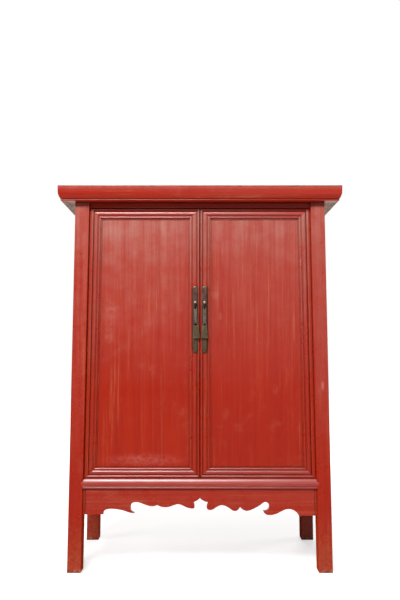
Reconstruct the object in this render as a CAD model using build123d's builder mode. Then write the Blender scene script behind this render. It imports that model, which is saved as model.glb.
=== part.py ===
"""Tapered two-door cabinet in lacquered wood, with wooden door pivots and brass pulls.

Millimetres, +Z up, the front faces -Y. The origin is on the floor, in the middle of the
cabinet's width and depth. The four legs lean inwards, so every upright face of the carcase
is a plane of the form x = side_x(z) or y = face_y(z), and the helpers below make bars that
follow those planes.
"""
import os
from math import cos, pi, radians, sin, sqrt

from build123d import *

# ------------------------------------------------------------------ driving dimensions
total_height = 1520
foot_width = 1046  # over the outer faces of the legs, at the floor
foot_depth = 466
side_splay = 0.0205  # inward lean of the legs per mm of height, seen from the front
front_splay = 0.012  # the same, seen from the side
leg_size = 55
leg_edge_radius = 2.5
foot_chamfer = 1.5

fit = 0.2  # clearance round every tenon and tongue
tenon_length = 28
tenon_thickness = 12
tenon_inset = 12  # from a leg's outer face to a side tenon
tenon_shoulder = 6  # above and below most tenons
front_tenon_inset = 20  # from the front or back face to a rail's tenon
thin_rail_shoulder = 2
tongue = 8  # how far a panel reaches into its grooves

top_thickness = 58
top_side_overhang = 63  # beyond the legs, at both ends
top_front_overhang = 31  # beyond the legs, at the front and the back
top_frame_width = 105
top_panel_thickness = 18
top_panel_sink = 1
top_tongue_thickness = 8
top_edge_radius = 3
top_edge_flat = 24  # upright part of the moulded edge
top_swell_inset = 8.5
top_groove_inset = 11
top_groove_height = 1.6
top_bead_height = 6
top_bead_inset = 9
top_bead_root = 12
leg_tenon_size = 24
leg_tenon_height = 35
top_batten_width = 40
top_batten_height = 28
top_batten_place = 250  # from the middle to a batten's middle

upper_rail_height = 23
upper_rail_recess = 8  # behind the legs' faces
lower_rail_top = 368
lower_rail_height = 38.5
front_rail_depth = 52  # from the legs' faces to the rails' backs
rail_swell_height = 22
rail_swell_inset = 10
rail_bead_height = 8
rail_groove = 1.6
rail_nose_length = 9  # the pointed end of the lower rail on the leg's face
rail_nose_depth = 8
rail_nose_drop = 18  # from the rail's top to the point
rail_nose_root = 10  # how far the point's solid starts inside the rail

apron_recess = 8
apron_thickness = 18
apron_tenon_cheek = 3  # from the apron's face to its tenon
apron_low_left = 102  # depth of the plain ends below the rail
apron_low_right = 107
apron_end = 71  # width of the plain ends
apron_bead = 8
apron_bead_groove = 3
apron_groove_depth = 2
apron_tenon_top = 12
apron_tenon_bottom = 70

carcase_rail_inset = 2
carcase_rail_depth = 30
carcase_upper_rail_height = 42
back_middle_rail_height = 46
back_middle_rail_place = 905  # height of its middle
panel_inset = 10
panel_thickness = 12
side_apron_depth = 78
side_apron_inset = 8
side_apron_thickness = 16
side_apron_tenon_cheek = 2
side_apron_arch = 26
side_apron_spandrel = 46

floor_drop = 6  # floor's surface below the top of the lower rails
floor_thickness = 12
floor_batten_width = 40
shelf_thickness = 18
shelf_gap = 1
shelf_front_gap = 5  # between the front legs and the shelves
lower_shelf_height = 735  # top surface
upper_shelf_height = 1090
bearer_height = 26
bearer_thickness = 18
stop_size = 12
stop_gap = 1  # behind the closed doors
stop_pivot_gap = 4  # from the stops' ends to where the hinge stiles turn

door_gap = 0.8  # beside the leg
door_rail_gap = 2  # above and below the door
door_meeting_gap = 3  # between the two doors
door_setback = 10  # behind the legs' faces
door_thickness = 28
pivot_place = 13  # from the stile's outer edge and from its face to the pivot's axis
pivot_radius = 7
pivot_clearance = 0.4
upper_pivot_length = 14
lower_pivot_length = 12
pivot_root = 5  # how deep a pivot's solid starts inside the stile
hinge_bead = 16  # the outer bead of the hinge stile
edge_bead = 8.5  # of the meeting stile and the top rail
bottom_bead = 10  # of the bottom rail
bead_groove = 2.5
bead_groove_depth = 4
centre_swell = 16
inner_groove = 3
inner_groove_depth = 4
inner_bead = 7.5
inner_bead_sink = 1.2
inner_bead_edge = 3.4  # how deep the inner bead's sides start
swell_edge_depth = 3.2  # how deep the swell's sides start
bead_edge_depth = 2.6  # how deep the outer bead's sides start
frame_lip = 4
frame_lip_depth = 5.5
lap_depth = 6  # the corners are mitred to this depth and square behind it
door_tenon_edge = 8  # from a rail's outer edge to its tenon
door_tenon_shoulder = 4  # from the panel's groove to the tenon
door_panel_sink = 8
door_panel_thickness = 10
door_tenon_depth = 9.5
door_tenon_thickness = 8
door_tenon_length = 24
door_batten_width = 46
door_batten_thickness = 8
door_batten_place = 0.27  # of the door's height, from its ends

plate_width = 21.5
plate_tip_width = 16
plate_thickness = 2.8
plate_bevel = 1.6
plate_bevel_run = 5
plate_top = 1130
plate_taper = 900
plate_bottom = 864
plate_place = 18.5  # from the middle of the cabinet to the plate's middle
shank_radius = 2.5
shank_clearance = 0.1
rivet_radius = 4.5
rivet_thickness = 2
lug_height = 1063.5
lug_neck_radius = 3.6
lug_ball_radius = 5.6
lug_reach = 9  # from the plate to the middle of the ball
lug_hole_radius = 1.9
staple_height = 1050  # middle of the ring that the pull hangs on
staple_ring_radius = 5.5
staple_wire_radius = 1.5
staple_gap = 0.5  # between the ring and the plate
pull_gap = 0.5  # between the eye and the wire it rests on
pull_eye_radius = 4.2
pull_eye_wall = 2.2
pull_thickness = 2.4
pull_edge = 0.4
pull_shaft_width = 12.5
pull_hole_height = 977
pull_hole_radius = 3.9
pull_boss_radius = 7.8
pull_shoulder = 968
pull_shoulder_width = 20
pull_bottom = 923
pull_bottom_width = 28
pull_bottom_bulge = 1.5
left_pull_lean = 2.5  # degrees, the left pull hangs a little out of true

# ------------------------------------------------------------------ derived places
half_width = foot_width / 2
half_depth = foot_depth / 2
underside = total_height - top_thickness
upper_rail_bottom = underside - upper_rail_height
lower_rail_bottom = lower_rail_top - lower_rail_height
carcase_upper_bottom = underside - carcase_upper_rail_height
reach = foot_width + foot_depth  # longer than anything in the cabinet is wide


def side_x(z, inset=0):
    """Half the cabinet's width at height z, inset from the legs' outer faces."""
    return half_width - side_splay * z - inset


def face_y(z, inset=0):
    """Half the cabinet's depth at height z, inset from the legs' outer faces."""
    return half_depth - front_splay * z - inset


top_half_width = side_x(underside) + top_side_overhang
top_half_depth = face_y(underside) + top_front_overhang


def side_plane(inset, side):
    """The outer face of the legs on one side (-1 left, 1 right), moved inwards by inset."""
    return Plane(origin=(side * (half_width - inset), 0, 0), x_dir=(0, 1, 0), z_dir=(side, 0, side_splay))


def face_plane(inset, side):
    """The outer face of the legs at the front (-1) or back (1), moved inwards by inset."""
    return Plane(origin=(0, side * (half_depth - inset), 0), x_dir=(1, 0, 0), z_dir=(0, side, front_splay))


def trim(solid, *planes):
    """The part of a solid that lies inside each plane, that is against its normal."""
    with BuildPart() as piece:
        add(solid)
        for plane in planes:
            split(bisect_by=plane, keep=Keep.BOTTOM)
    return piece.part


def across(section, ends):
    """A bar along X with a YZ section, ending at a given inset from the legs' outer faces."""
    with BuildPart() as bar:
        extrude(section, amount=reach, both=True)
    return trim(bar.part, side_plane(ends, -1), side_plane(ends, 1))


def front_bar(outer, inner, low, high, ends, side=-1):
    """A flat bar along X in the front (-1) or back (1), between two insets from that face."""
    with BuildSketch(Plane.YZ) as section:
        Polygon(
            (side * face_y(low, outer), low),
            (side * face_y(high, outer), high),
            (side * face_y(high, inner), high),
            (side * face_y(low, inner), low),
            align=None,
        )
    return across(section.sketch, ends)


def side_bar(outer, inner, low, high, ends):
    """A flat bar along Y in the right side, between two insets from the right face."""
    with BuildPart() as bar:
        with BuildSketch(Plane.XZ):
            Polygon(
                (side_x(low, outer), low),
                (side_x(high, outer), high),
                (side_x(high, inner), high),
                (side_x(low, inner), low),
                align=None,
            )
        extrude(amount=reach, both=True)
    return trim(bar.part, face_plane(ends, -1), face_plane(ends, 1))


def leaning_post(section, height, side, front):
    """A post with a horizontal section, leaning as the leg at that side and front does.

    With side 0 it leans with the front or back face alone.
    """
    direction = Vector(-side * side_splay, -front * front_splay, 1)
    with BuildPart() as post:
        extrude(section, amount=height * direction.length, dir=direction)
    return post.part


def leg_post(low, high, growth, side, front):
    """A square post that follows one leg between two heights, grown on every side."""
    centre = leg_size / 2
    with BuildSketch(Plane.XY.offset(low)) as section:
        with Locations((side * side_x(low, centre), front * face_y(low, centre))):
            Rectangle(leg_size + 2 * growth, leg_size + 2 * growth)
    return leaning_post(section.sketch, high - low, side, front)


def leg_tenon(growth, side, front):
    """The tenon on top of one leg, which enters the top frame."""
    centre = leg_size / 2
    size = leg_tenon_size + 2 * growth
    with BuildSketch(Plane.XY.offset(underside)) as section:
        with Locations((side * side_x(underside, centre), front * face_y(underside, centre))):
            Rectangle(size, size)
    return leaning_post(section.sketch, leg_tenon_height + growth, side, front)


def mirrored(part):
    """The left-hand twin of a right-hand part, or the other way about."""
    with BuildPart() as twin:
        mirror(part, about=Plane.YZ)
    return twin


corners = [(side, front) for side in (-1, 1) for front in (-1, 1)]
leg_tenon_cuts = [leg_tenon(fit, side, front) for side, front in corners]

# ------------------------------------------------------------------ bars that fit into one another
rail_tenon_ends = leg_size - tenon_length
front_tenon_inner = front_tenon_inset + tenon_thickness
side_tenon_inner = tenon_inset + tenon_thickness
panel_inner = panel_inset + panel_thickness
rail_inner = carcase_rail_inset + carcase_rail_depth
tongue_ends = leg_size - tongue
floor_top = lower_rail_top - floor_drop
floor_bottom = floor_top - floor_thickness


def front_tenon(low, high, growth):
    """Tenons at both ends of a front rail, or its mortises when grown."""
    outer = front_tenon_inset - growth
    inner = front_tenon_inner + growth
    return front_bar(outer, inner, low - growth, high + growth, rail_tenon_ends - growth)


def back_tenon(low, high, growth):
    """Tenons at both ends of a back rail, or its mortises when grown."""
    outer = front_tenon_inset - growth
    inner = front_tenon_inner + growth
    return front_bar(outer, inner, low - growth, high + growth, rail_tenon_ends - growth, side=1)


def side_tenon(low, high, growth):
    """Tenons at both ends of a right side rail, or its mortises when grown."""
    outer = tenon_inset - growth
    inner = side_tenon_inner + growth
    return side_bar(outer, inner, low - growth, high + growth, rail_tenon_ends - growth)


upper_tenon_heights = (upper_rail_bottom + thin_rail_shoulder, underside - thin_rail_shoulder)
lower_tenon_heights = (lower_rail_bottom + tenon_shoulder, lower_rail_top - tenon_shoulder - tongue)
carcase_upper_heights = (carcase_upper_bottom + tongue + tenon_shoulder, underside - tenon_shoulder)
back_middle_low = back_middle_rail_place - back_middle_rail_height / 2
back_middle_high = back_middle_rail_place + back_middle_rail_height / 2
back_middle_shoulder = tongue + tenon_shoulder / 2
back_middle_heights = (back_middle_low + back_middle_shoulder, back_middle_high - back_middle_shoulder)


def panel_slab(low, high, growth, back):
    """A back panel or right side panel with its tongues, or the grooves for it when grown."""
    outer = panel_inset - growth
    inner = panel_inner + growth
    ends = tongue_ends - growth
    if back:
        return front_bar(outer, inner, low - tongue - growth, high + tongue + growth, ends, side=1)
    return side_bar(outer, inner, low - tongue - growth, high + tongue + growth, ends)


side_panel_slab = panel_slab(lower_rail_top, carcase_upper_bottom, 0, back=False)
side_panel_groove = panel_slab(lower_rail_top, carcase_upper_bottom, fit, back=False)
back_lower_slab = panel_slab(lower_rail_top, back_middle_low, 0, back=True)
back_lower_groove = panel_slab(lower_rail_top, back_middle_low, fit, back=True)
back_upper_slab = panel_slab(back_middle_high, carcase_upper_bottom, 0, back=True)
back_upper_groove = panel_slab(back_middle_high, carcase_upper_bottom, fit, back=True)


def floor_board(growth):
    """The floor with its tongues, or the grooves for it when grown."""
    half_x = side_x(floor_bottom, rail_inner - tongue) + growth
    front = -face_y(floor_bottom, front_rail_depth - tongue) - growth
    back = face_y(floor_bottom, rail_inner - tongue) + growth
    with BuildPart() as board:
        with BuildSketch(Plane.XY.offset(floor_bottom - growth)):
            with Locations((0, (front + back) / 2)):
                Rectangle(2 * half_x, back - front)
        extrude(amount=floor_thickness + 2 * growth)
    return board.part


floor_slab = floor_board(0)
floor_groove = floor_board(fit)

bearer_outer = panel_inner + fit
bearer_inner = bearer_outer + bearer_thickness
bearer_tenon_ends = leg_size - tongue


def bearer_bar(shelf_height, growth, ends):
    """A shelf bearer on the right side, or the housing for its ends when grown."""
    outer = bearer_outer - growth
    inner = bearer_inner + growth
    high = shelf_height - shelf_thickness
    return side_bar(outer, inner, high - bearer_height - growth, high + growth, ends - growth)


def apron_tenon(growth):
    """The tenons of the front apron, or their mortises when grown."""
    outer = apron_recess + apron_tenon_cheek - growth
    inner = apron_recess + apron_thickness - apron_tenon_cheek + growth
    low = lower_rail_bottom - apron_tenon_bottom - growth
    high = lower_rail_bottom - apron_tenon_top + growth
    return front_bar(outer, inner, low, high, rail_tenon_ends - growth)


def side_apron_tenon(growth):
    """The tenons of the right side apron, or their mortises when grown."""
    outer = side_apron_inset + side_apron_tenon_cheek - growth
    inner = side_apron_inset + side_apron_thickness - side_apron_tenon_cheek + growth
    low = lower_rail_bottom - side_apron_depth + tenon_shoulder - growth
    high = lower_rail_bottom - tenon_shoulder + growth
    return side_bar(outer, inner, low, high, rail_tenon_ends - growth)


# ------------------------------------------------------------------ legs
front_leg_cuts = [
    front_tenon(*upper_tenon_heights, fit),
    front_tenon(*lower_tenon_heights, fit),
    side_tenon(*carcase_upper_heights, fit),
    side_tenon(*lower_tenon_heights, fit),
    side_panel_groove,
    bearer_bar(lower_shelf_height, fit, bearer_tenon_ends),
    bearer_bar(upper_shelf_height, fit, bearer_tenon_ends),
]
rear_leg_cuts = front_leg_cuts[2:] + [
    back_tenon(*carcase_upper_heights, fit),
    back_tenon(*back_middle_heights, fit),
    back_tenon(*lower_tenon_heights, fit),
    back_lower_groove,
    back_upper_groove,
]
front_leg_cuts += [apron_tenon(fit), side_apron_tenon(fit)]
rear_leg_cuts += [side_apron_tenon(fit)]

nose_height = lower_rail_top - rail_nose_drop
nose_low = lower_rail_bottom + rail_bead_height
with BuildPart() as nose_prism:
    with BuildSketch(Plane.XZ):
        Polygon(
            (side_x(lower_rail_top, leg_size + rail_nose_root), lower_rail_top),
            (side_x(lower_rail_top, leg_size), lower_rail_top),
            (side_x(nose_height, leg_size - rail_nose_length), nose_height),
            (side_x(nose_low, leg_size), nose_low),
            (side_x(nose_low, leg_size + rail_nose_root), nose_low),
            align=None,
        )
    extrude(amount=reach, both=True)
    split(bisect_by=face_plane(rail_nose_depth, -1), keep=Keep.TOP)


def leg(front, cuts):
    """One right-hand leg: a leaning square post with eased edges, a top tenon and its mortises."""
    post = leg_post(0, underside, 0, 1, front)
    tenon = leg_tenon(0, 1, front)
    with BuildPart() as piece:
        add(post)
        chamfer(piece.faces().sort_by(Axis.Z)[0].edges(), foot_chamfer)
        long_edges = piece.edges().sort_by(SortBy.LENGTH)[-4:]
        fillet(long_edges, leg_edge_radius)
        add(tenon)
        for cut in cuts:
            add(cut, mode=Mode.SUBTRACT)
    return piece


front_right_leg = leg(-1, front_leg_cuts + [nose_prism.part])
rear_right_leg = leg(1, rear_leg_cuts)
front_left_leg = mirrored(front_right_leg.part)
rear_left_leg = mirrored(rear_right_leg.part)

# ------------------------------------------------------------------ top
top_corners = {corner: (corner[0] * top_half_width, corner[1] * top_half_depth, 0) for corner in corners}
top_opening_x = top_half_width - top_frame_width
top_opening_y = top_half_depth - top_frame_width
top_panel_top = total_height - top_panel_sink
top_tongue_low = top_panel_top - top_panel_thickness
top_batten_low = top_tongue_low - top_batten_height
swell_low = underside + top_bead_height + top_groove_height


def top_edge(place):
    """The closed section of a top rail; place(inset, height) gives a point of the sketch."""
    bead_top = underside + top_bead_height
    flat_low = total_height - top_edge_flat
    Polyline(
        place(top_bead_root, underside),
        place(top_frame_width, underside),
        place(top_frame_width, total_height),
        place(top_edge_radius, total_height),
    )
    ease = top_edge_radius * (1 - sin(pi / 4))
    ThreePointArc(
        place(top_edge_radius, total_height),
        place(ease, total_height - ease),
        place(0, total_height - top_edge_radius),
    )
    Line(place(0, total_height - top_edge_radius), place(0, flat_low))
    TangentArc(place(0, flat_low), place(top_swell_inset, swell_low), tangent=(0, -1))
    Polyline(
        place(top_swell_inset, swell_low),
        place(top_groove_inset, swell_low),
        place(top_groove_inset, bead_top),
    )
    ThreePointArc(
        place(top_groove_inset, bead_top),
        place(top_bead_inset, underside + top_bead_height / 2),
        place(top_bead_root, underside),
    )


def top_board(growth):
    """The floating top board with its tongues, or the grooves for it when grown."""
    with BuildPart() as board:
        with BuildSketch(Plane.XY.offset(top_tongue_low - growth)):
            Rectangle(2 * (top_opening_x + tongue + growth), 2 * (top_opening_y + tongue + growth))
        extrude(amount=top_tongue_thickness + 2 * growth)
        with BuildSketch(Plane.XY.offset(top_tongue_low)):
            Rectangle(2 * (top_opening_x - fit), 2 * (top_opening_y - fit))
        extrude(amount=top_panel_thickness)
    return board.part


def top_batten_bar(place, growth):
    """A batten under the top board with stub tenons, or its mortises when grown."""
    with BuildPart() as batten:
        with BuildSketch(Plane.XY.offset(top_batten_low - growth)):
            with Locations((place, 0)):
                Rectangle(top_batten_width + 2 * growth, 2 * (top_opening_y + tongue + growth))
        extrude(amount=top_batten_height + growth)
    return batten.part


top_batten_cuts = [top_batten_bar(side * top_batten_place, fit) for side in (-1, 1)]
top_cuts = leg_tenon_cuts + top_batten_cuts + [top_board(fit)]


def long_top_rail(front):
    """The front (-1) or back (1) rail of the top, mitred at both ends."""
    with BuildPart() as bar:
        with BuildSketch(Plane.YZ):
            with BuildLine():
                top_edge(lambda inset, height: (front * (top_half_depth - inset), height))
            make_face()
        extrude(amount=reach, both=True)
    mitres = [Plane(origin=top_corners[side, front], z_dir=(side, -front, 0)) for side in (-1, 1)]
    rail = trim(bar.part, *mitres)
    with BuildPart() as piece:
        add(rail)
        for cut in top_cuts:
            add(cut, mode=Mode.SUBTRACT)
    return piece


top_front_rail = long_top_rail(-1)
top_back_rail = long_top_rail(1)

with BuildPart() as top_end_bar:
    with BuildSketch(Plane.XZ):
        with BuildLine():
            top_edge(lambda inset, height: (top_half_width - inset, height))
        make_face()
    extrude(amount=reach, both=True)
top_end_mitres = [Plane(origin=top_corners[1, front], z_dir=(-1, front, 0)) for front in (-1, 1)]
top_end = trim(top_end_bar.part, *top_end_mitres)
with BuildPart() as top_right_rail:
    add(top_end)
    for cut in top_cuts:
        add(cut, mode=Mode.SUBTRACT)
top_left_rail = mirrored(top_right_rail.part)

top_board_solid = top_board(0)
with BuildPart() as top_panel:
    add(top_board_solid)
top_batten_solid = top_batten_bar(top_batten_place, 0)
with BuildPart() as top_right_batten:
    add(top_batten_solid)
top_left_batten = mirrored(top_right_batten.part)

# ------------------------------------------------------------------ door places
door_outer = leg_size + door_gap  # inset of a door's outer edge
door_bottom = lower_rail_top + door_rail_gap
door_top = upper_rail_bottom - door_rail_gap
moulding_width = bead_groove + centre_swell + inner_groove + inner_bead + frame_lip
hinge_stile_width = hinge_bead + moulding_width
edge_width = edge_bead + moulding_width  # of the meeting stile and the top rail
bottom_rail_width = bottom_bead + moulding_width
meeting_edge = door_meeting_gap / 2
pivot_inset = door_outer + pivot_place
pivot_depth = door_setback + pivot_place
door_back = door_setback + door_thickness


def pivot_plane(height):
    """The plane across the right door's pivot axis at one height."""
    origin = (side_x(height, pivot_inset), -face_y(height, pivot_depth), height)
    return Plane(origin=origin, z_dir=(-side_splay, front_splay, 1))


def pivot_rod(low, high, radius):
    """A round rod on the right door's pivot axis between two heights."""
    with BuildPart() as rod:
        with BuildSketch(pivot_plane(low)):
            Circle(radius)
        extrude(amount=high - low)
    return rod.part


lower_socket_low = door_bottom - lower_pivot_length - pivot_clearance
lower_socket = pivot_rod(lower_socket_low, door_bottom, pivot_radius + pivot_clearance)
upper_socket = pivot_rod(door_top, underside + pivot_root, pivot_radius + pivot_clearance)
sockets = [lower_socket, upper_socket, mirrored(lower_socket).part, mirrored(upper_socket).part]

# ------------------------------------------------------------------ front of the carcase
upper_rail_bar = front_bar(upper_rail_recess, front_rail_depth, upper_rail_bottom, underside, leg_size)
upper_rail_tenons = front_tenon(*upper_tenon_heights, 0)
with BuildPart() as front_upper_rail:
    add(upper_rail_bar)
    add(upper_rail_tenons)
    for socket in sockets:
        add(socket, mode=Mode.SUBTRACT)


def rail_point(depth, height):
    """A point of the front rail's section, at a depth behind the face of the legs."""
    return (-face_y(height, depth), height)


with BuildSketch(Plane.YZ) as lower_rail_section:
    with BuildLine():
        swell_end = lower_rail_top - rail_swell_height
        bead_top = lower_rail_bottom + rail_bead_height
        Polyline(
            rail_point(rail_groove, lower_rail_bottom),
            rail_point(front_rail_depth, lower_rail_bottom),
            rail_point(front_rail_depth, lower_rail_top),
            rail_point(rail_swell_inset, lower_rail_top),
        )
        TangentArc(
            rail_point(0, swell_end), rail_point(rail_swell_inset, lower_rail_top), tangent=(front_splay, 1)
        )
        Polyline(
            rail_point(0, swell_end),
            rail_point(0, bead_top + rail_groove),
            rail_point(rail_groove, bead_top + rail_groove),
            rail_point(rail_groove, bead_top),
        )
        ThreePointArc(
            rail_point(rail_groove, bead_top),
            rail_point(0, lower_rail_bottom + rail_bead_height / 2),
            rail_point(rail_groove, lower_rail_bottom),
        )
    make_face()

lower_rail_bar = across(lower_rail_section.sketch, leg_size)
lower_rail_tenons = front_tenon(*lower_tenon_heights, 0)
with BuildPart() as rail_nose:
    extrude(lower_rail_section.sketch, amount=reach, both=True)
    add(nose_prism.part, mode=Mode.INTERSECT)
left_rail_nose = mirrored(rail_nose.part)
with BuildPart() as front_lower_rail:
    add(lower_rail_bar)
    add(lower_rail_tenons)
    add(rail_nose.part)
    add(left_rail_nose.part)
    add(floor_groove, mode=Mode.SUBTRACT)
    for socket in sockets:
        add(socket, mode=Mode.SUBTRACT)

# The carving is drawn for this half span and stretched to suit the width between the legs.
carving_half_span = 386
carving_stretch = (side_x(lower_rail_bottom, leg_size) - apron_end) / carving_half_span
apron_lowest = lower_rail_bottom - max(apron_low_left, apron_low_right) - apron_bead
left_scroll = [(-378, apron_low_left), (-371, 86), (-357, 81), (-323, 82), (-297, 87)]
left_scroll += [(-277, 94), (-256, 97)]
left_leaf = [(-256, 97), (-270, 86), (-271, 72), (-266, 59), (-252, 54), (-229, 58), (-191, 70), (-167, 65)]
left_wave = [(-167, 65), (-151, 72), (-137, 74), (-113, 70), (-85, 62), (-66, 68), (-44, 77), (-22, 78)]
bud_left = [(-22, 78), (-21, 71), (-26, 54)]
bud_top_left = [(-26, 54), (-11, 47), (0, 38)]
bud_top_right = [(0, 38), (13, 48), (35, 54)]
right_wave = [(35, 54), (27, 68), (28, 80), (39, 85), (62, 75), (83, 66), (109, 74), (132, 88), (157, 73)]
right_leaf = [(157, 73), (186, 88), (213, 78), (238, 63), (257, 53), (270, 66), (264, 86), (247, 88)]
right_scroll = [(247, 88), (258, 102), (275, 105), (309, 95), (343, 81), (366, 86), (386, apron_low_right)]
carving = [left_scroll, left_leaf, left_wave, bud_left, bud_top_left]
carving += [bud_top_right, right_wave, right_leaf, right_scroll]


def carved(point):
    """A point of the carving, given as its place from the middle and its drop below the rail."""
    return (point[0] * carving_stretch, lower_rail_bottom - point[1])


with BuildPart() as apron_outline:
    with BuildSketch(Plane.XZ):
        with BuildLine():
            for curve in carving:
                Spline(*[carved(point) for point in curve])
            Polyline(
                carved(left_scroll[0]),
                (-half_width, lower_rail_bottom - apron_low_left),
                (-half_width, lower_rail_bottom),
                (half_width, lower_rail_bottom),
                (half_width, lower_rail_bottom - apron_low_right),
                carved(right_scroll[-1]),
            )
        make_face()
    extrude(amount=reach, both=True)

apron_inner = apron_recess + apron_thickness
apron_board = front_bar(apron_recess, apron_inner, apron_lowest, lower_rail_bottom, leg_size)
apron_tenons = apron_tenon(0)
with BuildSketch(Plane.XY.offset(apron_lowest)) as apron_groove_section:
    groove_x = side_x(apron_lowest, leg_size + apron_bead + apron_bead_groove / 2)
    with Locations((groove_x, -face_y(apron_lowest, apron_recess))):
        Rectangle(apron_bead_groove, 2 * apron_groove_depth)
apron_groove_cut = leaning_post(apron_groove_section.sketch, lower_rail_bottom - apron_lowest, 1, -1)
left_apron_groove_cut = mirrored(apron_groove_cut)
with BuildPart() as front_apron:
    add(apron_board)
    add(apron_tenons)
    add(apron_outline.part, mode=Mode.INTERSECT)
    add(apron_groove_cut, mode=Mode.SUBTRACT)
    add(left_apron_groove_cut.part, mode=Mode.SUBTRACT)

stop_ends = leg_size + door_gap + 2 * pivot_place + stop_pivot_gap
stop_outer = door_back + stop_gap
stop_inner = stop_outer + stop_size
lower_stop_top = lower_rail_top + stop_size
upper_stop_low = upper_rail_bottom - stop_size
lower_stop_bar = front_bar(stop_outer, stop_inner, lower_rail_top, lower_stop_top, stop_ends)
upper_stop_bar = front_bar(stop_outer, stop_inner, upper_stop_low, upper_rail_bottom, stop_ends)
with BuildPart() as lower_door_stop:
    add(lower_stop_bar)
with BuildPart() as upper_door_stop:
    add(upper_stop_bar)

# ------------------------------------------------------------------ sides


def joined(bars, cuts):
    """One piece made of bars that overlap, less its cuts."""
    with BuildPart() as piece:
        for bar in bars:
            add(bar)
        for cut in cuts:
            add(cut, mode=Mode.SUBTRACT)
    return piece


side_upper_bar = side_bar(carcase_rail_inset, rail_inner, carcase_upper_bottom, underside, leg_size)
side_lower_bar = side_bar(carcase_rail_inset, rail_inner, lower_rail_bottom, lower_rail_top, leg_size)
right_side_upper_rail = joined([side_upper_bar, side_tenon(*carcase_upper_heights, 0)], [side_panel_groove])
right_side_lower_rail = joined(
    [side_lower_bar, side_tenon(*lower_tenon_heights, 0)],
    [side_panel_groove, floor_groove],
)
right_side_panel = joined([side_panel_slab], [])

side_apron_low = lower_rail_bottom - side_apron_depth
side_apron_inner = side_apron_inset + side_apron_thickness
side_apron_board = side_bar(
    side_apron_inset,
    side_apron_inner,
    side_apron_low,
    lower_rail_bottom,
    leg_size,
)
arch_half_length = face_y(side_apron_low, leg_size + side_apron_spandrel)
with BuildPart() as side_apron_arch_cut:
    with BuildSketch(Plane.YZ):
        with Locations((0, side_apron_low)):
            RectangleRounded(2 * arch_half_length, 2 * side_apron_arch, side_apron_arch - 1)
    extrude(amount=reach)
right_side_apron = joined([side_apron_board, side_apron_tenon(0)], [side_apron_arch_cut.part])

left_side_upper_rail = mirrored(right_side_upper_rail.part)
left_side_lower_rail = mirrored(right_side_lower_rail.part)
left_side_panel = mirrored(right_side_panel.part)
left_side_apron = mirrored(right_side_apron.part)

# ------------------------------------------------------------------ back


def back_bar(low, high):
    """A back rail without its tenons."""
    return front_bar(carcase_rail_inset, rail_inner, low, high, leg_size, side=1)


back_upper_bar = back_bar(carcase_upper_bottom, underside)
back_middle_bar = back_bar(back_middle_low, back_middle_high)
back_lower_bar = back_bar(lower_rail_bottom, lower_rail_top)
back_upper_rail = joined([back_upper_bar, back_tenon(*carcase_upper_heights, 0)], [back_upper_groove])
back_middle_rail = joined(
    [back_middle_bar, back_tenon(*back_middle_heights, 0)],
    [back_upper_groove, back_lower_groove],
)
back_lower_rail = joined(
    [back_lower_bar, back_tenon(*lower_tenon_heights, 0)],
    [back_lower_groove, floor_groove],
)
back_upper_panel = joined([back_upper_slab], [])
back_lower_panel = joined([back_lower_slab], [])

# ------------------------------------------------------------------ inside
floor_panel = joined([floor_slab], [leg_post(0, underside, fit, side, front) for side, front in corners])

floor_batten_front = -face_y(floor_bottom, front_rail_depth)
floor_batten_back = face_y(floor_bottom, rail_inner)
with BuildPart() as floor_batten:
    with BuildSketch(Plane.XY.offset(lower_rail_bottom)):
        with Locations((0, (floor_batten_front + floor_batten_back) / 2)):
            Rectangle(floor_batten_width, floor_batten_back - floor_batten_front - 2 * fit)
    extrude(amount=floor_bottom - lower_rail_bottom)


def shelf_board(height):
    """A loose shelf on its bearers, notched round the rear legs."""
    low = height - shelf_thickness
    front = -face_y(height, leg_size + shelf_front_gap)
    back = face_y(height, panel_inner) - shelf_gap
    with BuildPart() as board:
        with BuildSketch(Plane.XY.offset(low)):
            with Locations((0, (front + back) / 2)):
                Rectangle(2 * (side_x(height, panel_inner) - shelf_gap), back - front)
        extrude(amount=shelf_thickness)
    return board.part


rear_leg_notches = [leg_post(0, underside, shelf_gap, side, 1) for side in (-1, 1)]
lower_shelf = joined([shelf_board(lower_shelf_height)], rear_leg_notches)
upper_shelf = joined([shelf_board(upper_shelf_height)], rear_leg_notches)
right_lower_bearer = joined([bearer_bar(lower_shelf_height, 0, bearer_tenon_ends)], [])
right_upper_bearer = joined([bearer_bar(upper_shelf_height, 0, bearer_tenon_ends)], [])
left_lower_bearer = mirrored(right_lower_bearer.part)
left_upper_bearer = mirrored(right_upper_bearer.part)

# ------------------------------------------------------------------ doors
slot_front = door_panel_sink - fit
slot_back = door_panel_sink + door_panel_thickness + fit


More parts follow.
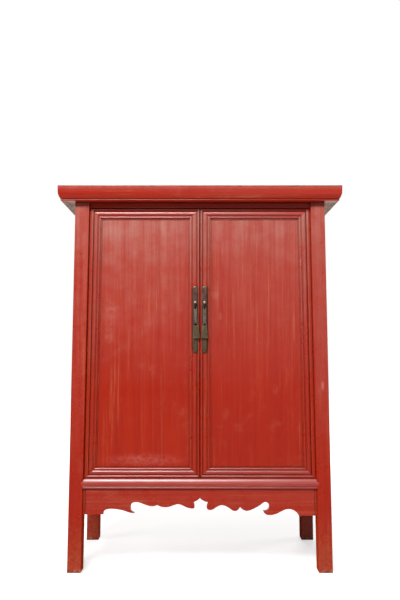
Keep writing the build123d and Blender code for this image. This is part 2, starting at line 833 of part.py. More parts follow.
def frame_section(place, bead, turning=False):
    """The closed section of a door stile or rail.

    place(t, d) gives a point of the sketch, t from the outer edge and d below the face. The
    stile that turns has its outer edge rounded about the pivot's axis.
    """
    groove_end = bead + bead_groove
    swell_end = groove_end + centre_swell
    inner_start = swell_end + inner_groove
    inner_end = inner_start + inner_bead
    width = inner_end + frame_lip
    if turning:
        bead_depth = pivot_place - sqrt(pivot_place**2 - (bead - pivot_place) ** 2)
        ease = pivot_place * (1 - sin(pi / 4))
        Line(place(0, door_thickness), place(0, pivot_place))
        ThreePointArc(place(0, pivot_place), place(ease, ease), place(bead, bead_depth))
    else:
        bead_depth = bead_edge_depth
        Line(place(0, door_thickness), place(0, bead_depth))
        ThreePointArc(place(0, bead_depth), place(bead / 2, 0), place(bead, bead_depth))
    Polyline(
        place(bead, bead_depth),
        place(bead, bead_groove_depth),
        place(groove_end, bead_groove_depth),
        place(groove_end, swell_edge_depth),
    )
    ThreePointArc(
        place(groove_end, swell_edge_depth),
        place((groove_end + swell_end) / 2, 0),
        place(swell_end, swell_edge_depth),
    )
    Polyline(
        place(swell_end, swell_edge_depth),
        place(swell_end, inner_groove_depth),
        place(inner_start, inner_groove_depth),
        place(inner_start, inner_bead_edge),
    )
    ThreePointArc(
        place(inner_start, inner_bead_edge),
        place((inner_start + inner_end) / 2, inner_bead_sink),
        place(inner_end, inner_bead_edge),
    )
    Polyline(
        place(inner_end, inner_bead_edge),
        place(inner_end, frame_lip_depth),
        place(width, frame_lip_depth),
        place(width, slot_front),
        place(width - tongue - fit, slot_front),
        place(width - tongue - fit, slot_back),
        place(width, slot_back),
        place(width, door_thickness),
        place(0, door_thickness),
    )


def hinge_point(t, d):
    """A point of the hinge stile's section, at the door's bottom."""
    return (side_x(door_bottom, door_outer + t), -face_y(door_bottom, door_setback + d))


def meeting_point(t, d):
    """A point of the meeting stile's section, at the door's bottom."""
    return (meeting_edge + t, -face_y(door_bottom, door_setback + d))


def top_point(t, d):
    """A point of the top rail's section."""
    return (-face_y(door_top - t, door_setback + d), door_top - t)


def bottom_point(t, d):
    """A point of the bottom rail's section."""
    return (-face_y(door_bottom + t, door_setback + d), door_bottom + t)


def section_face(plane, place, bead, turning=False):
    """A door frame member's section as a sketch."""
    with BuildSketch(plane) as section:
        with BuildLine():
            frame_section(place, bead, turning)
        make_face()
    return section.sketch


door_height = door_top - door_bottom
stile_plane = Plane.XY.offset(door_bottom)
hinge_stile_section = section_face(stile_plane, hinge_point, hinge_bead, turning=True)
hinge_stile_bar = leaning_post(hinge_stile_section, door_height, 1, -1)
meeting_stile_section = section_face(stile_plane, meeting_point, edge_bead)
meeting_stile_bar = leaning_post(meeting_stile_section, door_height, 0, -1)
with BuildPart() as top_rail_bar:
    extrude(section_face(Plane.YZ, top_point, edge_bead), amount=reach, both=True)
with BuildPart() as bottom_rail_bar:
    extrude(section_face(Plane.YZ, bottom_point, bottom_bead), amount=reach, both=True)

inner_top = door_top - edge_width
inner_bottom = door_bottom + bottom_rail_width
hinge_inner = door_outer + hinge_stile_width
meeting_inner = meeting_edge + edge_width


def corner_plane(x, z, normal):
    """A mitre plane through an inner corner of the door frame, its normal towards the stile."""
    return Plane(origin=(x, 0, z), x_dir=(0, 1, 0), z_dir=normal)


hinge_top_mitre = corner_plane(side_x(inner_top, hinge_inner), inner_top, (1, 0, side_splay - 1))
hinge_bottom_mitre = corner_plane(side_x(inner_bottom, hinge_inner), inner_bottom, (1, 0, side_splay + 1))
meeting_top_mitre = corner_plane(meeting_inner, inner_top, (-1, 0, -1))
meeting_bottom_mitre = corner_plane(meeting_inner, inner_bottom, (-1, 0, 1))
lap_plane = face_plane(door_setback + lap_depth, -1)


def meeting_plane(place):
    """The upright plane at a distance from the door's meeting edge, its normal towards the edge."""
    return Plane(origin=(meeting_edge + place, 0, 0), x_dir=(0, 1, 0), z_dir=(-1, 0, 0))


def door_bar(outer, inner, low, high, ends):
    """A flat bar across the right door, reaching a given distance into both stiles."""
    with BuildPart() as bar:
        with BuildSketch(Plane.YZ):
            Polygon(
                (-face_y(low, door_setback + outer), low),
                (-face_y(high, door_setback + outer), high),
                (-face_y(high, door_setback + inner), high),
                (-face_y(low, door_setback + inner), low),
                align=None,
            )
        extrude(amount=reach, both=True)
    return trim(bar.part, side_plane(hinge_inner - ends, 1), meeting_plane(edge_width - ends))


door_tenon_low = tongue + door_tenon_shoulder
door_tenon_back = door_tenon_depth + door_tenon_thickness


def door_tenon(low, high, growth):
    """The tenons of a door rail, or their mortises when grown."""
    outer = door_tenon_depth - growth
    inner = door_tenon_back + growth
    return door_bar(outer, inner, low - growth, high + growth, door_tenon_length + growth)


top_tenon_heights = (inner_top + door_tenon_low, door_top - door_tenon_edge)
bottom_tenon_heights = (door_bottom + door_tenon_edge, inner_bottom - door_tenon_low)
door_mortises = [door_tenon(*top_tenon_heights, fit), door_tenon(*bottom_tenon_heights, fit)]


def door_stile(bar, top_mitre, bottom_mitre, extras, cuts):
    """A stile, mitred in front of the lap plane and full height behind it."""
    front_layer = trim(bar, -lap_plane, -top_mitre, -bottom_mitre)
    rear_layer = trim(bar, lap_plane)
    return joined([front_layer, rear_layer] + extras, cuts)


def door_rail(bar, hinge_mitre, meeting_mitre, tenons):
    """A rail, mitred in front of the lap plane and square between the stiles behind it."""
    bar = trim(bar, side_plane(door_outer, 1), meeting_plane(0))
    front_layer = trim(bar, -lap_plane, hinge_mitre, meeting_mitre)
    rear_layer = trim(bar, lap_plane, side_plane(hinge_inner, 1), meeting_plane(edge_width))
    return joined([front_layer, rear_layer, tenons], [])


def door_place(x, z):
    """The plane of the door's face at one place, its normal outwards."""
    return Plane(origin=(x, -face_y(z, door_setback), z), x_dir=(1, 0, 0), z_dir=(0, -1, front_splay))


lug_plane = door_place(plate_place, lug_height)
staple_plane = door_place(plate_place, staple_height)


def shank(plane, radius, front, back):
    """A round bar normal to the door, from a distance in front of its face to one behind it."""
    with BuildPart() as bar:
        with BuildSketch(plane.offset(-back)):
            Circle(radius)
        extrude(amount=front + back)
    return bar.part


shank_hole_radius = shank_radius + shank_clearance
shank_holes = [
    shank(plane, shank_hole_radius, 2 * plate_thickness, 2 * door_thickness)
    for plane in (lug_plane, staple_plane)
]
lower_pivot = pivot_rod(door_bottom - lower_pivot_length, door_bottom + pivot_root, pivot_radius)
upper_pivot = pivot_rod(door_top - pivot_root, door_top + upper_pivot_length, pivot_radius)

right_door_hinge_stile = door_stile(
    hinge_stile_bar, hinge_top_mitre, hinge_bottom_mitre, [lower_pivot, upper_pivot], door_mortises
)
right_door_meeting_stile = door_stile(
    meeting_stile_bar, meeting_top_mitre, meeting_bottom_mitre, [], door_mortises + shank_holes
)
right_door_top_rail = door_rail(
    top_rail_bar.part, hinge_top_mitre, meeting_top_mitre, door_tenon(*top_tenon_heights, 0)
)
right_door_bottom_rail = door_rail(
    bottom_rail_bar.part, hinge_bottom_mitre, meeting_bottom_mitre, door_tenon(*bottom_tenon_heights, 0)
)
door_panel_back = door_panel_sink + door_panel_thickness
right_door_panel = joined(
    [door_bar(door_panel_sink, door_panel_back, inner_bottom - tongue, inner_top + tongue, tongue)], []
)


def door_batten(middle):
    """A batten against the back of the door panel, between the stiles."""
    low = middle - door_batten_width / 2
    high = middle + door_batten_width / 2
    return joined([door_bar(door_panel_back, door_panel_back + door_batten_thickness, low, high, 0)], [])


right_door_lower_batten = door_batten(door_bottom + door_batten_place * door_height)
right_door_upper_batten = door_batten(door_top - door_batten_place * door_height)

# ------------------------------------------------------------------ metalwork
plate_middle = (plate_top + plate_bottom) / 2
plate_plane = door_place(plate_place, plate_middle)
plate_axis = Axis(plate_plane.origin, plate_plane.z_dir)
with BuildPart() as right_plate:
    with BuildSketch(plate_plane):
        with BuildLine():
            half_plate = plate_width / 2
            round_start = plate_top - half_plate - plate_middle
            taper_start = plate_taper - plate_middle
            tip = plate_bottom - plate_middle
            Polyline(
                (-half_plate, round_start),
                (-half_plate, taper_start),
                (-plate_tip_width / 2, tip),
                (plate_tip_width / 2, tip),
                (half_plate, taper_start),
                (half_plate, round_start),
            )
            ThreePointArc(
                (half_plate, round_start),
                (0, round_start + half_plate),
                (-half_plate, round_start),
            )
        make_face()
    extrude(amount=plate_thickness)
    plate_face = right_plate.faces().sort_by(plate_axis)[-1]
    chamfer(plate_face.edges(), plate_bevel_run, plate_bevel, reference=plate_face)
    for hole in shank_holes:
        add(hole, mode=Mode.SUBTRACT)

lug_shank = shank(lug_plane, shank_radius, plate_thickness, door_thickness)
lug_rivet = shank(lug_plane, rivet_radius, -door_thickness, door_thickness + rivet_thickness)
lug_neck = shank(lug_plane, lug_neck_radius, plate_thickness + lug_reach, -plate_thickness)
with BuildPart() as right_lock_lug:
    add(lug_shank)
    add(lug_rivet)
    add(lug_neck)
    with Locations(lug_plane.offset(plate_thickness + lug_reach)):
        Sphere(lug_ball_radius)
        Cylinder(lug_hole_radius, 4 * lug_ball_radius, rotation=(0, 90, 0), mode=Mode.SUBTRACT)

staple_reach = plate_thickness + staple_gap + staple_wire_radius + staple_ring_radius
staple_shank = shank(staple_plane, shank_radius, staple_reach - staple_ring_radius, door_thickness)
staple_rivet = shank(staple_plane, rivet_radius, -door_thickness, door_thickness + rivet_thickness)
with BuildPart() as right_pull_staple:
    add(staple_shank)
    add(staple_rivet)
    with Locations(staple_plane.offset(staple_reach)):
        Torus(staple_ring_radius, staple_wire_radius, rotation=(0, 90, 0))

ring_centre = staple_plane.offset(staple_reach).origin
eye_drop = staple_ring_radius - staple_wire_radius - pull_gap + pull_eye_radius


def hanging_pull(side, lean):
    """The pull on one door, hung on its ring and turned in its own plane by lean degrees."""
    origin = (side * ring_centre.X, ring_centre.Y, ring_centre.Z)
    plane = Plane(origin=origin, x_dir=(cos(radians(lean)), 0, sin(radians(lean))), z_dir=(0, -1, 0))
    boss = pull_hole_height - ring_centre.Z
    shoulder = pull_shoulder - ring_centre.Z
    bottom = pull_bottom - ring_centre.Z
    half_bottom = pull_bottom_width / 2
    half_shoulder = pull_shoulder_width / 2
    with BuildPart() as pull:
        with BuildSketch(plane):
            with Locations((0, -eye_drop)):
                Circle(pull_eye_radius + pull_eye_wall)
            with Locations((0, (boss - eye_drop) / 2)):
                Rectangle(pull_shaft_width, -boss - eye_drop)
            with Locations((0, boss)):
                Circle(pull_boss_radius)
            with BuildLine():
                Polyline(
                    (-half_bottom, bottom),
                    (-half_shoulder, shoulder),
                    (-pull_shaft_width / 2, boss),
                    (pull_shaft_width / 2, boss),
                    (half_shoulder, shoulder),
                    (half_bottom, bottom),
                )
                ThreePointArc(
                    (half_bottom, bottom),
                    (0, bottom - pull_bottom_bulge),
                    (-half_bottom, bottom),
                )
            make_face()
            with Locations((0, -eye_drop)):
                Circle(pull_eye_radius, mode=Mode.SUBTRACT)
            with Locations((0, boss)):
                Circle(pull_hole_radius, mode=Mode.SUBTRACT)
        extrude(amount=pull_thickness / 2, both=True)
        chamfer(pull.faces().sort_by(Axis.Y)[0].edges(), pull_edge)
    return pull


right_pull = hanging_pull(1, 0)
left_pull = hanging_pull(-1, left_pull_lean)

left_door_hinge_stile = mirrored(right_door_hinge_stile.part)
left_door_meeting_stile = mirrored(right_door_meeting_stile.part)
left_door_top_rail = mirrored(right_door_top_rail.part)
left_door_bottom_rail = mirrored(right_door_bottom_rail.part)
left_door_panel = mirrored(right_door_panel.part)
left_door_lower_batten = mirrored(right_door_lower_batten.part)
left_door_upper_batten = mirrored(right_door_upper_batten.part)
left_plate = mirrored(right_plate.part)
left_lock_lug = mirrored(right_lock_lug.part)
left_pull_staple = mirrored(right_pull_staple.part)

# ------------------------------------------------------------------ files
pieces = {
    "top_front_rail": top_front_rail,
    "top_back_rail": top_back_rail,
    "top_left_rail": top_left_rail,
    "top_right_rail": top_right_rail,
    "top_panel": top_panel,
    "top_left_batten": top_left_batten,
    "top_right_batten": top_right_batten,
    "front_left_leg": front_left_leg,
    "front_right_leg": front_right_leg,
    "rear_left_leg": rear_left_leg,
    "rear_right_leg": rear_right_leg,
    "front_upper_rail": front_upper_rail,
    "front_lower_rail": front_lower_rail,
    "front_apron": front_apron,
    "lower_door_stop": lower_door_stop,
    "upper_door_stop": upper_door_stop,
    "left_side_upper_rail": left_side_upper_rail,
    "left_side_lower_rail": left_side_lower_rail,
    "left_side_panel": left_side_panel,
    "left_side_apron": left_side_apron,
    "right_side_upper_rail": right_side_upper_rail,
    "right_side_lower_rail": right_side_lower_rail,
    "right_side_panel": right_side_panel,
    "right_side_apron": right_side_apron,
    "back_upper_rail": back_upper_rail,
    "back_middle_rail": back_middle_rail,
    "back_lower_rail": back_lower_rail,
    "back_upper_panel": back_upper_panel,
    "back_lower_panel": back_lower_panel,
    "floor_panel": floor_panel,
    "floor_batten": floor_batten,
    "lower_shelf": lower_shelf,
    "upper_shelf": upper_shelf,
    "left_lower_bearer": left_lower_bearer,
    "left_upper_bearer": left_upper_bearer,
    "right_lower_bearer": right_lower_bearer,
    "right_upper_bearer": right_upper_bearer,
    "left_door_hinge_stile": left_door_hinge_stile,
    "left_door_meeting_stile": left_door_meeting_stile,
    "left_door_top_rail": left_door_top_rail,
    "left_door_bottom_rail": left_door_bottom_rail,
    "left_door_panel": left_door_panel,
    "left_door_lower_batten": left_door_lower_batten,
    "left_door_upper_batten": left_door_upper_batten,
    "right_door_hinge_stile": right_door_hinge_stile,
    "right_door_meeting_stile": right_door_meeting_stile,
    "right_door_top_rail": right_door_top_rail,
    "right_door_bottom_rail": right_door_bottom_rail,
    "right_door_panel": right_door_panel,
    "right_door_lower_batten": right_door_lower_batten,
    "right_door_upper_batten": right_door_upper_batten,
    "left_plate": left_plate,
    "right_plate": right_plate,
    "left_lock_lug": left_lock_lug,
    "right_lock_lug": right_lock_lug,
    "left_pull_staple": left_pull_staple,
    "right_pull_staple": right_pull_staple,
    "left_pull": left_pull,
    "right_pull": right_pull,
}

os.makedirs("parts", exist_ok=True)
for name, piece in pieces.items():
    piece.part.label = name
    export_step(piece.part, f"parts/{name}.step")
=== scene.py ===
"""Looks of a red lacquered two-door cabinet: worn lacquer, bare wood and aged metal."""
import math

import bpy
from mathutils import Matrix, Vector


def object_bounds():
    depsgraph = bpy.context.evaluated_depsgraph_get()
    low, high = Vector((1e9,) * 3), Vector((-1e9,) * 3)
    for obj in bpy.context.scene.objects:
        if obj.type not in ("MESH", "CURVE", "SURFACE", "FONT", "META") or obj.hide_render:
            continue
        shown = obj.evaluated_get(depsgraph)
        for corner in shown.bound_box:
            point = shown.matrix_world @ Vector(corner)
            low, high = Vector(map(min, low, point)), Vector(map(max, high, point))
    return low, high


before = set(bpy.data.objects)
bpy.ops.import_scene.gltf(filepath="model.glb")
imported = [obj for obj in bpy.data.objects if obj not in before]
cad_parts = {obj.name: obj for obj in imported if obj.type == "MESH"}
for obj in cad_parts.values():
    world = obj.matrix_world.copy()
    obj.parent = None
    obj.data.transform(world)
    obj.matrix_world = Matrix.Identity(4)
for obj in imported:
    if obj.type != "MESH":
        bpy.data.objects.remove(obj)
cad_box = [list(corner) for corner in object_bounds()]
scene = bpy.context.scene

X, Y, Z = 0, 1, 2
DOWN = (Z, -1)            # an axis and the sense along it
BACK = (Y, 1)

# ---------------------------------------------------------------- places, in metres
TOP = cad_box[1][Z]       # height of the cabinet
SIDE_SLOPE = 0.0205       # how far the sides lean in per metre of height
JAMB_AT_FLOOR = 0.4675    # where the joint between leg and door would meet the floor
SHEEN_FULL = TOP - 0.14    # the painted sheen of reflected light is full from here up
CROWN_START = TOP - 0.32  # a second, stronger band of painted sheen starts here
CROWN_FULL = TOP - 0.12
FOOT_DUST_AND_LIGHT = 0.26          # the feet are paler below this, dusty and painted lighter
SOLE = 0.016              # and chipped below this
PULL_AT = 0.0185          # how far the pulls hang from the middle
STAPLE_SHADE_SPOT = 1.046      # height of the black spot painted round the staple, a painted shade
BLADE_HOLE = 0.977        # height of the pierced hole in a pull

# rubbed spots: X, Z, half width, half height, strength
LEG_SCUFFS = (
    (0.484, 0.735, 0.008, 0.025, 0.8),
)
LEFT_PANEL_SCUFFS = (
    (-0.355, 1.03, 0.045, 0.09, 0.22),
    (-0.36, 0.93, 0.025, 0.05, 0.22),
    (-0.2, 0.985, 0.015, 0.03, 0.2),
    (-0.22, 0.44, 0.2, 0.035, 0.3),
)
RIGHT_PANEL_SCUFFS = (
    (0.06, 1.1, 0.02, 0.035, 0.22),
    (0.08, 1.01, 0.01, 0.02, 0.3),
    (0.3, 0.72, 0.015, 0.03, 0.2),
)


# ---------------------------------------------------------------- colours
def colour(red, green, blue):
    """A linear RGBA colour from 8-bit display values."""
    def linear(value):
        value /= 255
        return value / 12.92 if value <= 0.04045 else ((value + 0.055) / 1.055) ** 2.4
    return (linear(red), linear(green), linear(blue), 1.0)


LACQUER_LIGHT = colour(190, 42, 6)
LACQUER_DARK = colour(168, 26, 4)
LACQUER_CLOUDED = colour(170, 28, 4)
LACQUER_STREAK = colour(128, 18, 6)
LACQUER_SHADED = colour(64, 10, 4)
LACQUER_CREVICE_SHADE = colour(58, 6, 2)
# rubbed lacquer; also the painted sheen of the pale threads
LACQUER_RUBBED_AND_SHEEN = colour(210, 112, 74)
PAINTED_SHEEN = colour(196, 138, 126)
GRIME = colour(112, 46, 22)
SCRATCH = colour(214, 128, 108)
SPECK = colour(224, 158, 138)
SCUFF = colour(222, 140, 126)
CREST_WEAR_AND_HIGHLIGHT = colour(194, 106, 92)
WORN_THROUGH = colour(96, 50, 44)
DUST_AND_PAINTED_LIGHT = colour(188, 96, 60)
JAMB_PAINTED_LIGHT = colour(214, 76, 46)
BARE_LIGHT = colour(206, 184, 158)
BARE_DARK = colour(158, 128, 98)
BARE_CORNER_DARK = colour(60, 40, 28)
BARE_DOTS = colour(92, 66, 52)
WOOD_CORNER_DARK = colour(46, 28, 18)
WOOD_CRACK = colour(70, 48, 32)
SOOT_AND_SHADE = colour(26, 15, 9)
WHITE = (1.0, 1.0, 1.0, 1.0)
BLACK = (0.0, 0.0, 0.0, 1.0)
FLOOR_DARK = (0.64, 0.64, 0.64, 1.0)
FLOOR_LIGHT = (0.68, 0.68, 0.68, 1.0)


# ---------------------------------------------------------------- node trees
class Nodes:
    """A node tree, built up a socket at a time."""

    def __init__(self, tree):
        self.tree = tree
        tree.nodes.clear()

    def add(self, kind, **settings):
        node = self.tree.nodes.new(kind)
        for key, value in settings.items():
            setattr(node, key, value)
        return node

    def feed(self, socket, value):
        """Links a socket to another one, or sets it to a plain value."""
        if isinstance(value, bpy.types.NodeSocket):
            self.tree.links.new(value, socket)
        else:
            socket.default_value = value

    def math(self, operation, a, b=0.0):
        node = self.add("ShaderNodeMath", operation=operation)
        self.feed(node.inputs[0], a)
        self.feed(node.inputs[1], b)
        return node.outputs[0]

    def times(self, value, *factors):
        """The product of all the values."""
        for factor in factors:
            value = self.math("MULTIPLY", value, factor)
        return value

    def distance(self, a, b):
        """How far a place is whose offsets in two directions are a and b."""
        return self.math("SQRT", self.math("ADD", self.times(a, a), self.times(b, b)))

    def ramp(self, value, low, high, to_low=0.0, to_high=1.0, smooth=True):
        """The value, carried over from one range into another."""
        node = self.add("ShaderNodeMapRange", interpolation_type="SMOOTHSTEP" if smooth else "LINEAR")
        self.feed(node.inputs["Value"], value)
        for key, number in (("From Min", low), ("From Max", high), ("To Min", to_low), ("To Max", to_high)):
            node.inputs[key].default_value = number
        return node.outputs[0]

    def part_of(self, vector, axis):
        """One part of a vector: X, Y or Z."""
        node = self.add("ShaderNodeSeparateXYZ")
        self.feed(node.inputs[0], vector)
        return node.outputs[axis]


class Look(Nodes):
    """One node material."""

    def __init__(self, name):
        self.material = bpy.data.materials.new(name)
        self.material.use_nodes = True
        super().__init__(self.material.node_tree)
        self.output = self.add("ShaderNodeOutputMaterial")
        self.bsdf = self.add("ShaderNodeBsdfPrincipled")
        self.feed(self.output.inputs[0], self.bsdf.outputs[0])
        coords = self.add("ShaderNodeTexCoord")
        self.place = coords.outputs["Object"]
        self.facing = coords.outputs["Normal"]

    def mix(self, factor, a, b, blend="MIX"):
        node = self.add("ShaderNodeMix", data_type="RGBA", blend_type=blend)
        self.feed(node.inputs["Factor"], factor)
        self.feed(node.inputs[6], a)
        self.feed(node.inputs[7], b)
        return node.outputs[2]

    def glaze(self, tone, paint, mask, strength, blend="MIX"):
        """The tone with paint over it, as strong as the mask says."""
        return self.mix(self.times(mask, strength), tone, paint, blend)

    def noise(self, scale, seed, detail=4.0, roughness=0.55, distortion=0.0):
        """A noise with one scale for all axes or one for each, moved by the seed."""
        if isinstance(scale, float):
            scale = (scale, scale, scale)
        place = self.add("ShaderNodeVectorMath", operation="MULTIPLY_ADD")
        self.feed(place.inputs[0], self.place)
        place.inputs[1].default_value = scale
        place.inputs[2].default_value = (seed * 7.3, seed * 3.1 + 5.0, seed * 5.7 - 2.0)
        node = self.add("ShaderNodeTexNoise")
        self.feed(node.inputs["Vector"], place.outputs[0])
        node.inputs["Scale"].default_value = 1.0
        node.inputs["Detail"].default_value = detail
        node.inputs["Roughness"].default_value = roughness
        node.inputs["Distortion"].default_value = distortion
        return node.outputs[0]

    def hairline(self, scale, seed, width):
        """Thin curved lines: the contour of a stretched noise."""
        field = self.noise(scale, seed, detail=1.0, roughness=0.4)
        away = self.math("ABSOLUTE", self.math("SUBTRACT", field, 0.5))
        return self.ramp(away, width, 0.0)

    def crevice(self, distance, low, high):
        """1 deep in grooves and corners, 0 on open faces."""
        node = self.add("ShaderNodeAmbientOcclusion", samples=6)
        node.inputs["Distance"].default_value = distance
        return self.ramp(node.outputs["AO"], high, low)

    def edge(self, radius, low, high):
        """1 along sharp edges, 0 on flat faces."""
        bevel = self.add("ShaderNodeBevel", samples=4)
        bevel.inputs["Radius"].default_value = radius
        geometry = self.add("ShaderNodeNewGeometry")
        dot = self.add("ShaderNodeVectorMath", operation="DOT_PRODUCT")
        self.feed(dot.inputs[0], bevel.outputs[0])
        self.feed(dot.inputs[1], geometry.outputs["Normal"])
        return self.ramp(self.math("SUBTRACT", 1.0, dot.outputs["Value"]), low, high)

    def bump(self, height, distance, strength):
        node = self.add("ShaderNodeBump")
        node.inputs["Distance"].default_value = distance
        node.inputs["Strength"].default_value = strength
        self.feed(node.inputs["Height"], height)
        return node.outputs[0]

    def finish(self, base, roughness, normal, metallic=0.0, specular=0.5):
        self.feed(self.bsdf.inputs["Base Color"], base)
        self.feed(self.bsdf.inputs["Roughness"], roughness)
        self.feed(self.bsdf.inputs["Normal"], normal)
        self.feed(self.bsdf.inputs["Metallic"], metallic)
        self.feed(self.bsdf.inputs["Specular IOR Level"], specular)
        return self.material


def along(axis, across, length):
    """A noise scale that draws fibres along one axis."""
    return tuple(length if k == axis else across for k in range(3))


# ---------------------------------------------------------------- wood
def wood_parts(look, axis, seed, light, dark):
    """Bare wood: colour, roughness and height."""
    rings = look.noise(along(axis, 26.0, 1.1), seed, detail=3.0, distortion=0.6)
    wave = look.math("FRACT", look.times(rings, 9.0))
    band = look.ramp(look.math("ABSOLUTE", look.math("SUBTRACT", wave, 0.5)), 0.0, 0.5)
    fibre = look.noise(along(axis, 420.0, 9.0), seed + 1.0, detail=5.0, roughness=0.7)
    stain = look.noise(2.6, seed + 2.0, detail=3.0)
    tone = look.glaze(light, dark, band, 0.55)
    tone = look.glaze(tone, dark, look.ramp(fibre, 0.4, 0.75), 0.45)
    tone = look.glaze(tone, dark, look.ramp(stain, 0.45, 0.75), 0.4, "MULTIPLY")
    height = look.math("ADD", look.times(band, 0.3), fibre)
    return tone, look.ramp(fibre, 0.2, 0.8, 0.55, 0.8), height


def bare_wood(name, axis, seed, light, dark):
    """Bare or thinly stained old wood."""
    look = Look(name)
    tone, rough, height = wood_parts(look, axis, seed, light, dark)
    # darker in corners and grooves
    tone = look.glaze(tone, WOOD_CORNER_DARK, look.crevice(0.02, 0.3, 0.95), 0.6)
    cracks = look.hairline(along(axis, 18.0, 2.0), seed + 4.0, 0.002)
    tone = look.glaze(tone, WOOD_CRACK, cracks, 0.3)
    height = look.math("SUBTRACT", height, cracks)
    return look.finish(tone, rough, look.bump(height, 0.0008, 0.5), specular=0.3)


# ---------------------------------------------------------------- lacquer
class Lacquer(Look):
    """Worn red lacquer over wood, with the brush marks and the fibres along one axis.

    A method that takes a tone puts one kind of wear or dirt, or a painted sheen, shade or light, over it
    and returns it.
    """

    def __init__(self, name, axis, seed, wear):
        super().__init__(name)
        self.axis = axis
        self.seed = seed
        self.wear = wear
        self.level = self.part_of(self.place, Z)
        self.fine = self.noise(along(axis, 520.0, 2.6), seed, detail=5.0, roughness=0.7)
        self.broad = self.noise(along(axis, 38.0, 0.7), seed + 1.0, detail=7.0, roughness=0.8,
                                distortion=0.5)
        self.cloud = self.noise(2.2, seed + 2.0, detail=3.0)
        self.blotch = self.noise(17.0, seed + 3.0, detail=5.0, roughness=0.6)
        self.grit = self.noise(60.0, seed + 10.0, detail=4.0, roughness=0.7)

    def brushed(self):
        """The lacquer's colour: brush marks and dark streaks, with pale threads of rubbing and painted
        sheen.
        """
        tone = self.mix(self.ramp(self.broad, 0.34, 0.68, 0.2, 0.8), LACQUER_LIGHT, LACQUER_DARK)
        tone = self.glaze(tone, LACQUER_CLOUDED, self.ramp(self.cloud, 0.42, 0.7), 0.4)
        patchy = self.ramp(self.noise((7.0, 7.0, 4.0), self.seed + 11.0, detail=4.0), 0.38, 0.66)
        streaks = self.times(self.ramp(self.fine, 0.52, 0.74), patchy)
        tone = self.glaze(tone, LACQUER_STREAK, streaks, 0.42)
        # pale threads along the grain: rubbed lacquer and a painted sheen of reflected light
        thread = self.noise(along(self.axis, 110.0, 1.9), self.seed + 13.0, detail=6.0,
                            roughness=0.75, distortion=0.3)
        pale = self.times(self.ramp(thread, 0.48, 0.3), self.ramp(patchy, 0.0, 1.0, 0.25, 1.0))
        return self.glaze(tone, LACQUER_RUBBED_AND_SHEEN, pale, 0.62 * self.wear)

    def sheen_painted(self, tone, haze, start, low_amount, high_amount):
        """A painted sheen: pale reflected light that grows towards the top."""
        low_sheen = self.times(self.ramp(self.level, start, SHEEN_FULL, smooth=False), low_amount)
        crown = self.times(self.ramp(self.level, CROWN_START, CROWN_FULL, smooth=False), high_amount)
        sheen_mask = self.times(self.math("ADD", low_sheen, crown),
                          self.ramp(self.broad, 0.32, 0.68, 1.35 * haze, 0.6 * haze),
                          self.ramp(self.blotch, 0.3, 0.7, 0.75, 1.25))
        return self.mix(sheen_mask, tone, PAINTED_SHEEN)

    def rubbed(self, tone):
        """Pale patches in a few places."""
        patches = self.times(self.ramp(self.blotch, 0.56, 0.72), self.ramp(self.cloud, 0.4, 0.62))
        return self.glaze(tone, LACQUER_RUBBED_AND_SHEEN, patches, 0.14 * self.wear)

    def scratched(self, tone):
        """Thin scratches and pale specks; returns the scratches too."""
        lines = self.hairline(along(self.axis, 13.0, 2.1), self.seed + 4.0, 0.0009)
        lines = self.times(lines, self.ramp(self.noise(5.0, self.seed + 5.0), 0.54, 0.64))
        cross = self.hairline((9.0, 11.0, 10.0), self.seed + 6.0, 0.0006)
        cross = self.times(cross, self.ramp(self.noise(12.0, self.seed + 7.0), 0.6, 0.68))
        scratch = self.math("MAXIMUM", lines, cross)
        tone = self.glaze(tone, SCRATCH, scratch, 0.3 * self.wear)
        specks = self.ramp(self.noise(240.0, self.seed + 8.0, detail=2.0), 0.735, 0.775)
        specks = self.times(specks, self.ramp(self.noise(6.0, self.seed + 9.0), 0.5, 0.6))
        return self.glaze(tone, SPECK, specks, 0.5 * self.wear), scratch

    def scuffed(self, tone, x, z, half_width, half_height, strength):
        """One rubbed spot, an ellipse with a broken edge."""
        side = self.math("DIVIDE", self.math("SUBTRACT", self.part_of(self.place, X), x), half_width)
        drop = self.math("DIVIDE", self.math("SUBTRACT", self.level, z), half_height)
        broken = self.noise((48.0, 48.0, 60.0), self.seed + 14.0, detail=6.0, roughness=0.7)
        spot = self.times(self.ramp(self.distance(side, drop), 1.0, 0.2), self.ramp(broken, 0.32, 0.68))
        return self.glaze(tone, SCUFF, spot, strength)

    def edge_worn(self, tone):
        """Rubbed edges; returns the chips in them too."""
        edge = self.edge(0.0022, 0.02, 0.2)
        worn = self.times(edge, self.ramp(self.blotch, 0.36, 0.62, 0.1, 1.0))
        tone = self.glaze(tone, LACQUER_RUBBED_AND_SHEEN, worn, 0.35 * self.wear)
        return tone, self.times(self.ramp(edge, 0.25, 0.7), self.ramp(self.grit, 0.6, 0.66))

    def rim_worn(self, tone, chip):
        """A pale crest on the rim of the top, part wear and part painted highlight, with ragged places
        where the lacquer is gone.
        """
        outer = self.ramp(self.part_of(self.facing, Z), 0.95, 0.6)
        outer = self.math("MAXIMUM", outer, self.edge(0.007, 0.01, 0.25))
        # pale crest along the rim: wear and a painted highlight
        crest = self.times(self.ramp(self.level, TOP - 0.02, TOP - 0.006), outer,
                           self.ramp(self.grit, 0.3, 0.62, 0.5, 1.0))
        tone = self.glaze(tone, CREST_WEAR_AND_HIGHLIGHT, crest, 0.5)
        ragged = self.noise((45.0, 45.0, 140.0), self.seed + 12.0, detail=5.0, roughness=0.75)
        higher = self.ramp(self.level, TOP - 0.012, TOP + 0.001, 0.0, 0.22, smooth=False)
        gone = self.times(self.ramp(self.math("ADD", higher, ragged), 0.66, 0.72), outer)
        tone = self.glaze(tone, WORN_THROUGH, gone, 0.85)
        return tone, self.math("MAXIMUM", chip, self.times(gone, self.ramp(self.fine, 0.55, 0.7)))

